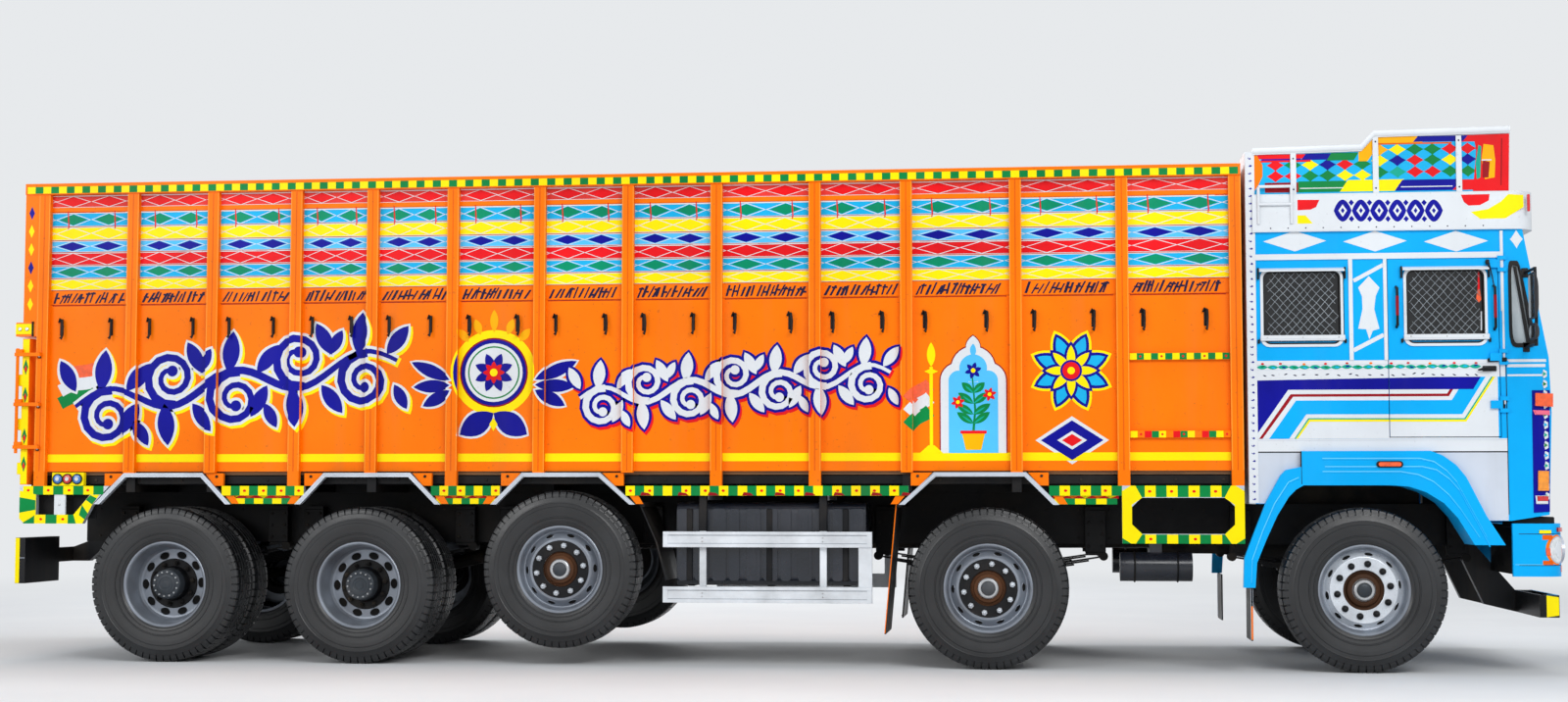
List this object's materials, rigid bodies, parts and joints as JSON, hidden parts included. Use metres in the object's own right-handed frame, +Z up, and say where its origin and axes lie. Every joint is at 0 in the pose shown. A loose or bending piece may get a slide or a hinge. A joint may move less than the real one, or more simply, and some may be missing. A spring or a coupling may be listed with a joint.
{
  "type": "decorated five-axle truck",
  "caption": "Long open-topped cargo truck with hand-painted board sides, a blue cab with a roof carrier, twin steering axles and hinged rear doors.",
  "frame": {"origin": "on the ground under the middle of the truck's length and width", "axes": "+X forward, +Y to the vehicle's left, +Z up"},
  "size_m": [10.236, 3.2, 3.456],
  "materials": {
    "bare_aluminium": "brushed",
    "body_paint": "gloss hand paint",
    "cab_paint": "gloss",
    "cab_plastic": "grained",
    "cast_metal": "dull black, oily",
    "chassis_paint": "satin black",
    "checker_paint": "gloss hand paint",
    "fender_paint": "gloss",
    "flap_rubber": "matte",
    "lamp_lens": "clear",
    "mirror_black": "satin",
    "rim_paint": "satin silver",
    "seat_cover": "woven",
    "tank_coating": "satin dark",
    "timber": "worn",
    "tyre_rubber": "matte",
    "underrun_paint": "satin",
    "wheel_grip": "grained",
    "window_glass": "clear"
  },
  "bodies": {
    "truck": {"axles": "cast_metal", "body_underframe": "chassis_paint", "cab_back": "cab_paint", "cab_floor": "chassis_paint", "cab_front": "cab_paint", "cab_glass": "window_glass", "cab_roof": "cab_paint", "cab_side_left": "cab_paint", "cab_side_right": "cab_paint", "cargo_floor": "timber", "cargo_side_left": "body_paint", "cargo_side_right": "body_paint", "chassis_frame": "chassis_paint", "dashboard": "cab_plastic", "driveline": "cast_metal", "fenders": "fender_paint", "front_bumper": "cab_paint", "headboard": "body_paint", "lamps": "lamp_lens", "leaf_springs": "chassis_paint", "mirrors": "mirror_black", "mud_flaps": "flap_rubber", "rear_frame": "body_paint", "roof_carrier": "cab_paint", "seats": "seat_cover", "side_guards": "bare_aluminium", "skirt_frames": "checker_paint", "steering_wheel": "wheel_grip", "tanks": "tank_coating", "underrun_bars": "underrun_paint"},
    "wheel_1_right": {"tyre_1_right": "tyre_rubber", "rim_1_right": "rim_paint"},
    "steered_1_right": {"knuckle_1_right": "cast_metal"},
    "wheel_1_left": {"tyre_1_left": "tyre_rubber", "rim_1_left": "rim_paint"},
    "steered_1_left": {"knuckle_1_left": "cast_metal"},
    "wheel_2_right": {"tyre_2_right": "tyre_rubber", "rim_2_right": "rim_paint"},
    "steered_2_right": {"knuckle_2_right": "cast_metal"},
    "wheel_2_left": {"tyre_2_left": "tyre_rubber", "rim_2_left": "rim_paint"},
    "steered_2_left": {"knuckle_2_left": "cast_metal"},
    "wheel_3_right": {"tyre_3_right": "tyre_rubber", "rim_3_right": "rim_paint"},
    "wheel_3_left": {"tyre_3_left": "tyre_rubber", "rim_3_left": "rim_paint"},
    "wheel_4_right": {"tyre_4_right": "tyre_rubber", "rim_4_right": "rim_paint"},
    "wheel_4_left": {"tyre_4_left": "tyre_rubber", "rim_4_left": "rim_paint"},
    "wheel_5_right": {"tyre_5_right": "tyre_rubber", "rim_5_right": "rim_paint"},
    "wheel_5_left": {"tyre_5_left": "tyre_rubber", "rim_5_left": "rim_paint"},
    "cab_door_right": {"cab_door_right": "cab_paint", "door_glass_right": "window_glass"},
    "rear_door_right": {"rear_door_right": "body_paint"},
    "cab_door_left": {"cab_door_left": "cab_paint", "door_glass_left": "window_glass"},
    "rear_door_left": {"rear_door_left": "body_paint"}
  },
  "joints": [
    {"name": "steer_1_right", "type": "hinge", "parent": "truck", "child": "steered_1_right", "pos_m": [3.856, -0.868, 0.52], "axis": [0, 0, 1], "range_deg": [-35, 35]},
    {"name": "spin_1_right", "type": "hinge", "parent": "steered_1_right", "child": "wheel_1_right", "pos_m": [3.856, -1.0775, 0.52], "axis": [0, 1, 0], "continuous": true},
    {"name": "steer_1_left", "type": "hinge", "parent": "truck", "child": "steered_1_left", "pos_m": [3.856, 0.868, 0.52], "axis": [0, 0, 1], "range_deg": [-35, 35]},
    {"name": "spin_1_left", "type": "hinge", "parent": "steered_1_left", "child": "wheel_1_left", "pos_m": [3.856, 1.0775, 0.52], "axis": [0, 1, 0], "continuous": true},
    {"name": "steer_2_right", "type": "hinge", "parent": "truck", "child": "steered_2_right", "pos_m": [1.486, -0.868, 0.52], "axis": [0, 0, 1], "range_deg": [-24, 24]},
    {"name": "spin_2_right", "type": "hinge", "parent": "steered_2_right", "child": "wheel_2_right", "pos_m": [1.486, -1.0775, 0.52], "axis": [0, 1, 0], "continuous": true},
    {"name": "steer_2_left", "type": "hinge", "parent": "truck", "child": "steered_2_left", "pos_m": [1.486, 0.868, 0.52], "axis": [0, 0, 1], "range_deg": [-24, 24]},
    {"name": "spin_2_left", "type": "hinge", "parent": "steered_2_left", "child": "wheel_2_left", "pos_m": [1.486, 1.0775, 0.52], "axis": [0, 1, 0], "continuous": true},
    {"name": "spin_3_right", "type": "hinge", "parent": "truck", "child": "wheel_3_right", "pos_m": [-1.332, -1.0775, 0.631], "axis": [0, 1, 0], "continuous": true},
    {"name": "spin_3_left", "type": "hinge", "parent": "truck", "child": "wheel_3_left", "pos_m": [-1.332, 1.0775, 0.631], "axis": [0, 1, 0], "continuous": true},
    {"name": "spin_4_right", "type": "hinge", "parent": "truck", "child": "wheel_4_right", "pos_m": [-2.699, -1.0775, 0.52], "axis": [0, 1, 0], "continuous": true},
    {"name": "spin_4_left", "type": "hinge", "parent": "truck", "child": "wheel_4_left", "pos_m": [-2.699, 1.0775, 0.52], "axis": [0, 1, 0], "continuous": true},
    {"name": "spin_5_right", "type": "hinge", "parent": "truck", "child": "wheel_5_right", "pos_m": [-4.047, -1.0775, 0.52], "axis": [0, 1, 0], "continuous": true},
    {"name": "spin_5_left", "type": "hinge", "parent": "truck", "child": "wheel_5_left", "pos_m": [-4.047, 1.0775, 0.52], "axis": [0, 1, 0], "continuous": true},
    {"name": "cab_door_right", "type": "hinge", "parent": "truck", "child": "cab_door_right", "pos_m": [4.711, -1.247, 2], "axis": [0, 0, 1], "range_deg": [0, 75]},
    {"name": "rear_door_right", "type": "hinge", "parent": "truck", "child": "rear_door_right", "pos_m": [-5.093, -1.262, 1.76], "axis": [0, 0, 1], "range_deg": [0, 270]},
    {"name": "cab_door_left", "type": "hinge", "parent": "truck", "child": "cab_door_left", "pos_m": [4.711, 1.247, 2], "axis": [0, 0, -1], "range_deg": [0, 75]},
    {"name": "rear_door_left", "type": "hinge", "parent": "truck", "child": "rear_door_left", "pos_m": [-5.093, 1.262, 1.76], "axis": [0, 0, -1], "range_deg": [0, 270]}
  ],
  "couplings": [
    {"joint": "steer_1_left", "follows": "steer_1_right", "ratio": 1},
    {"joint": "steer_2_right", "follows": "steer_1_right", "ratio": 0.67},
    {"joint": "steer_2_left", "follows": "steer_1_right", "ratio": 0.67}
  ]
}
